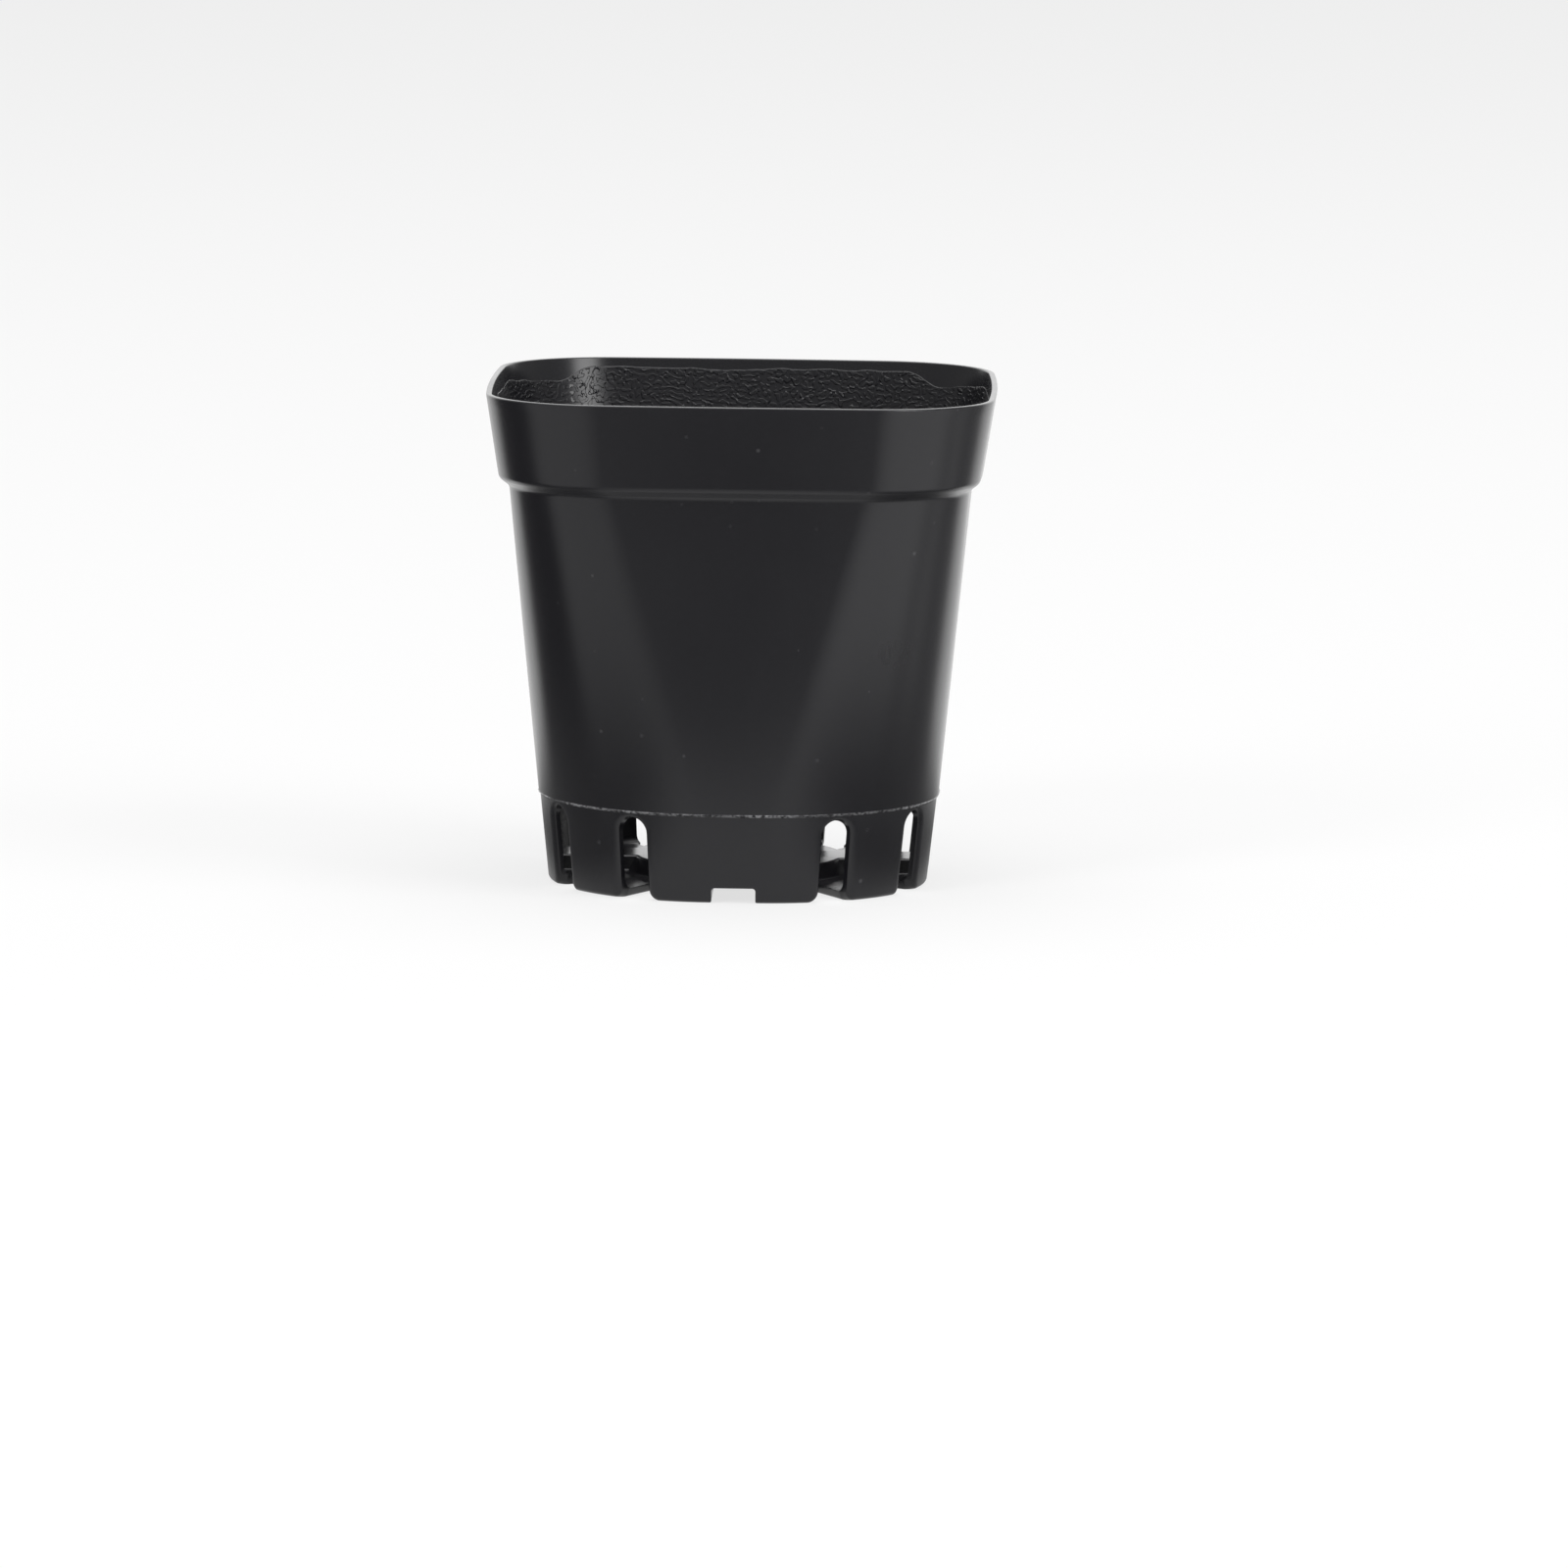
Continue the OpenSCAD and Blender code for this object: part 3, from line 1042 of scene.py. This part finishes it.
@dataclass
class Pot:
    """The whole moulding."""

    walls: Walls
    finish: MouldedBlack
    grain_below: float = 6.0
    inward_share: float = 0.3
    level_share: float = 0.9999
    sharp_angle: float = math.radians(32)

    def build(self) -> Thing:
        """Makes the pot's closed mesh, dresses it and ties it to the frame."""
        pot = self.walls.build()
        pot.name = "moulded_pot"
        hub = HubAndChannels(self.walls)
        combine(pot, hub.raised(), Join.ADD)
        combine(pot, hub.cuts() + DrainSlots(self.walls).build(), Join.CUT)
        combine(pot, [hub.gate()], Join.ADD)
        drop_folds(pot)
        self.dress(pot)
        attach(pot, "root")
        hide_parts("pot")
        return pot

    def dress(self, pot: Thing) -> None:
        """Smooths the skin except for its level faces, and gives each side its finish.

        A face is inside where its direction points towards the axis, and the grained finish
        covers the inside from a little below the foot's top upwards.
        """
        mesh = pot.data
        mesh.materials.clear()
        mesh.materials.append(self.finish.outside())
        mesh.materials.append(self.finish.inside(self.walls.height * MM))
        count = len(mesh.polygons)
        centre = np.empty(count * 3)
        normal = np.empty(count * 3)
        mesh.polygons.foreach_get("center", centre)
        mesh.polygons.foreach_get("normal", normal)
        centre = centre.reshape(-1, 3) / MM
        normal = normal.reshape(-1, 3)
        outward = (centre[:, :2] * normal[:, :2]).sum(1)
        inside = outward < -self.inward_share * np.linalg.norm(centre[:, :2], axis=1)
        tall = centre[:, 2] > self.walls.foot_height - self.grain_below
        mesh.polygons.foreach_set("material_index", (inside & tall).astype(np.int32))
        mesh.polygons.foreach_set("use_smooth", np.abs(normal[:, 2]) < self.level_share)
        mesh.set_sharp_from_angle(angle=self.sharp_angle)
        mesh.update()


@dataclass(frozen=True)
class Glow:
    """A soft patch of light round the pot, as its glossy skin sees it.

    All but the strength is in degrees. The azimuth is 0 at the front and grows to the right.
    """

    azimuth: float
    half_width: float
    low: float
    high: float
    strength: float
    soft: float


GLOWS = (
    Glow(180, 46, -58, 50, 1.15, 7),
    Glow(180, 50, -52, -27, 0.70, 6),
    Glow(48, 34, -60, 4, 0.62, 9),
    Glow(55, 50, -60, 4, 0.45, 10),
    Glow(112, 22, -60, 4, 0.25, 8),
    Glow(-44, 38, -60, 4, 0.38, 6),
    Glow(-50, 32, -60, 4, 0.30, 8),
    Glow(0, 180, -90, 4, 0.06, 8),
    Glow(0, 180, 4, 50, 0.40, 8),
    Glow(36, 12, 7, 36, 6.5, 5),
    Glow(0, 180, 50, 90, 2.6, 10),
)


@dataclass(frozen=True)
class SoftBox:
    """One lamp: its place and size in metres, and its power in watts."""

    name: str
    place: tuple[float, float, float]
    size: tuple[float, float]
    power: float


SOFT_BOXES = (
    SoftBox("left_box", (-1.1, -1.3, 0.9), (0.5, 1.0), 12.0),
    SoftBox("right_box", (1.3, -0.7, 0.9), (0.9, 1.2), 14.0),
    SoftBox("top_box", (0.0, 0.2, 1.6), (1.4, 1.4), 12.0),
)


@dataclass
class Studio:
    """The camera, floor, surroundings and lamps. Lengths are in metres."""

    distance: float = 1.387
    elevation: float = math.radians(7.05)
    azimuth: float = math.radians(1.38)
    roll: float = math.radians(0.645)
    focal_pixels: float = 10228.0
    frame_pixels: float = 1600.0
    pot_pixel: tuple[float, float] = (756.0, 642.7)
    sensor: float = 36.0
    clip: tuple[float, float] = (0.05, 100.0)
    middle: float = 0.03435
    soft_light: float = 0.45
    dark_level: float = 0.02
    floor_half: float = 12.0
    floor_grey: float = 0.85
    floor_white: float = 0.72
    mirror_ring: tuple[float, float] = (0.05, 0.12)
    mirror_aside: tuple[float, float] = (0.014, 0.040)
    mirror_level: tuple[float, float] = (0.80, 0.22)

    def camera(self) -> None:
        """Places the camera at the photograph's angle, aimed so that the pot is in its place."""
        back = Vector((
            math.sin(self.azimuth) * math.cos(self.elevation),
            -math.cos(self.azimuth) * math.cos(self.elevation),
            math.sin(self.elevation),
        ))
        right = Vector((math.cos(self.azimuth), math.sin(self.azimuth), 0.0))
        rise = back.cross(right)
        tilted_right = right * math.cos(self.roll) + rise * math.sin(self.roll)
        tilted_rise = rise * math.cos(self.roll) - right * math.sin(self.roll)
        per_pixel = self.distance / self.focal_pixels
        off_x = (self.frame_pixels / 2 - self.pot_pixel[0]) * per_pixel
        off_y = (self.pot_pixel[1] - self.frame_pixels / 2) * per_pixel
        pot = Vector((0.0, 0.0, self.middle))
        place = pot + back * self.distance
        aim = pot + tilted_right * off_x + tilted_rise * off_y
        away = (place - aim).normalized()
        side = tilted_rise.cross(away).normalized()
        top = away.cross(side)
        data = bpy.data.cameras.new("camera")
        data.sensor_width = self.sensor
        data.sensor_fit = "HORIZONTAL"
        data.lens = self.sensor * self.focal_pixels / self.frame_pixels
        data.clip_start, data.clip_end = self.clip
        camera = bpy.data.objects.new("camera", data)
        turn = Matrix((side, top, away)).transposed().to_4x4()
        turn.translation = place
        camera.matrix_world = turn
        bpy.context.scene.collection.objects.link(camera)
        bpy.context.scene.camera = camera

    def floor(self) -> None:
        """Makes the wide pale floor, which the camera sees as nearly white.

        Glossy skin sees it only near the pot, brightest in a strip under the pot's middle.
        """
        size = self.floor_half / MM
        corners = np.array([[-size, -size, 0], [size, -size, 0], [size, size, 0], [-size, size, 0]])
        floor = linked_object("floor", corners, [[0, 1, 2, 3]])
        material = bpy.data.materials.new("pale_floor")
        n = Nodes(material)
        path = n.add("ShaderNodeLightPath").outputs
        grey = (self.floor_grey, self.floor_grey, self.floor_grey, 1.0)
        pale = n.add("ShaderNodeBsdfDiffuse", {"Color": grey}).outputs[0]
        seen = n.mix_shader(self.floor_white, pale, n.emission(1.0))
        where = n.add("ShaderNodeTexCoord").outputs["Object"]
        near = n.ramp(n.vector("LENGTH", {0: where})["Value"], *self.mirror_ring, 1.0, 0.0)
        aside = n.math("ABSOLUTE", n.split(where)["X"])
        sheen = n.emission(n.ramp(aside, *self.mirror_aside, *self.mirror_level))
        clear = n.add("ShaderNodeBsdfTransparent").outputs[0]
        mirrored = n.mix_shader(near, clear, sheen)
        plain = n.mix_shader(path["Is Camera Ray"], pale, seen)
        mixed = n.mix_shader(path["Is Glossy Ray"], plain, mirrored)
        n.add("ShaderNodeOutputMaterial", {"Surface": mixed})
        floor.data.materials.append(material)

    def patch(self, n: Nodes, azimuth: Feed, elevation: Feed, glow: Glow) -> Feed:
        """Works out how much of a glow lies in a direction.

        Where a glow reaches all the way round, up or down, it has no soft edge.

        Args:
            n: the world's nodes.
            azimuth: the direction's azimuth, in degrees.
            elevation: the direction's elevation, in degrees.
            glow: the patch of light.

        Returns:
            The share of the glow's strength, from 0 to 1.
        """
        half = glow.soft / 2
        share: Feed = 1.0
        if glow.low > -90:
            share = n.ramp(elevation, glow.low - half, glow.low + half)
        if glow.high < 90:
            below = n.ramp(elevation, glow.high - half, glow.high + half, 1.0, 0.0)
            share = n.math("MULTIPLY", share, below)
        if glow.half_width < 180:
            turn = n.math("WRAP", n.math("SUBTRACT", azimuth, glow.azimuth), 180.0, -180.0)
            inner, outer = glow.half_width - glow.soft, glow.half_width + glow.soft
            wide = n.ramp(n.math("ABSOLUTE", turn), inner, outer, 1.0, 0.0)
            share = n.math("MULTIPLY", share, wide)
        return share

    def surroundings(self) -> None:
        """Makes the world: white for the camera, even for soft light, glows for reflections."""
        world = bpy.data.worlds.new("studio")
        bpy.context.scene.world = world
        n = Nodes(world)
        path = n.add("ShaderNodeLightPath").outputs
        way = n.split(n.add("ShaderNodeTexCoord").outputs["Generated"])
        forward = n.math("MULTIPLY", way["Y"], -1.0)
        azimuth = n.math("DEGREES", n.math("ARCTAN2", way["X"], forward))
        elevation = n.math("DEGREES", n.math("ARCSINE", way["Z"]))
        total = self.dark_level
        for glow in GLOWS:
            share = self.patch(n, azimuth, elevation, glow)
            total = n.math("MULTIPLY_ADD", share, glow.strength, total)
        plain = n.mix_level(path["Is Camera Ray"], self.soft_light, 1.0)
        level = n.mix_level(path["Is Glossy Ray"], plain, total)
        light = n.add("ShaderNodeBackground", {"Color": WHITE, "Strength": level})
        n.add("ShaderNodeOutputWorld", {"Surface": light.outputs["Background"]})

    def lamp(self, box: SoftBox) -> None:
        """Adds one soft box, facing the pot."""
        data = bpy.data.lights.new(box.name, "AREA")
        data.shape = "RECTANGLE"
        data.size, data.size_y = box.size
        data.energy = box.power
        lamp = bpy.data.objects.new(box.name, data)
        lamp.visible_glossy = False
        lamp.location = box.place
        toward = Vector((0.0, 0.0, self.middle)) - Vector(box.place)
        lamp.rotation_euler = toward.to_track_quat("-Z", "Y").to_euler()
        bpy.context.scene.collection.objects.link(lamp)

    def build(self) -> None:
        """Sets up everything round the pot."""
        self.camera()
        self.floor()
        self.surroundings()
        for box in SOFT_BOXES:
            self.lamp(box)
        bpy.context.scene.view_settings.view_transform = "Standard"


def main() -> None:
    """Builds the studio and the pot."""
    logging.basicConfig(level=logging.INFO, format="%(name)s: %(message)s")
    Studio().build()
    pot = Pot(Walls(), MouldedBlack()).build()
    LOG.info("%s: %d faces", pot.name, len(pot.data.polygons))


if __name__ == "__main__":
    main()
